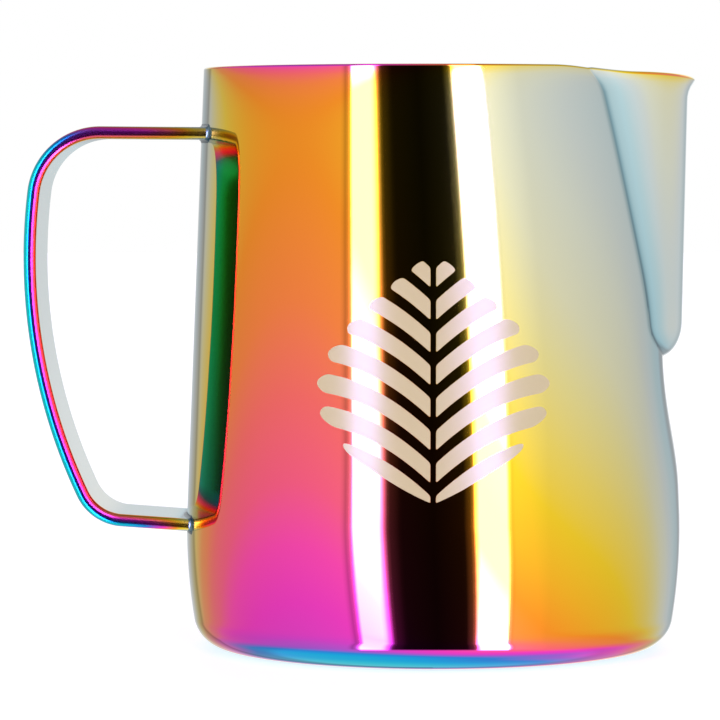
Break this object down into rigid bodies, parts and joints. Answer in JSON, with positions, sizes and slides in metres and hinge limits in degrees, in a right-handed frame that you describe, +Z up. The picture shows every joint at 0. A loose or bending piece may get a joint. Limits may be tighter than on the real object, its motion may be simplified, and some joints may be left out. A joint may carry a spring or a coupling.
{
  "type": "milk frothing pitcher",
  "caption": "Straight-sided steel pitcher with a pressed pouring spout and an open flat-strap handle, for steaming and pouring milk.",
  "frame": {"origin": "centre of the base's underside, on the axis of the round body", "axes": "+Z up along the body's axis, +X through the spout, handle towards -X"},
  "size_m": [0.121, 0.0894, 0.105],
  "materials": {
    "rainbow_body": "mirror-polished steel with a rainbow titanium coating outside, satin steel inside",
    "rainbow_handle": "mirror-polished steel with a rainbow titanium coating",
    "rainbow_weld": "brushed weld metal under the same coating"
  },
  "bodies": {
    "root": {"pitcher_body": "rainbow_body", "handle_strap": "rainbow_handle", "upper_weld": "rainbow_weld", "lower_weld": "rainbow_weld"}
  },
  "joints": []
}
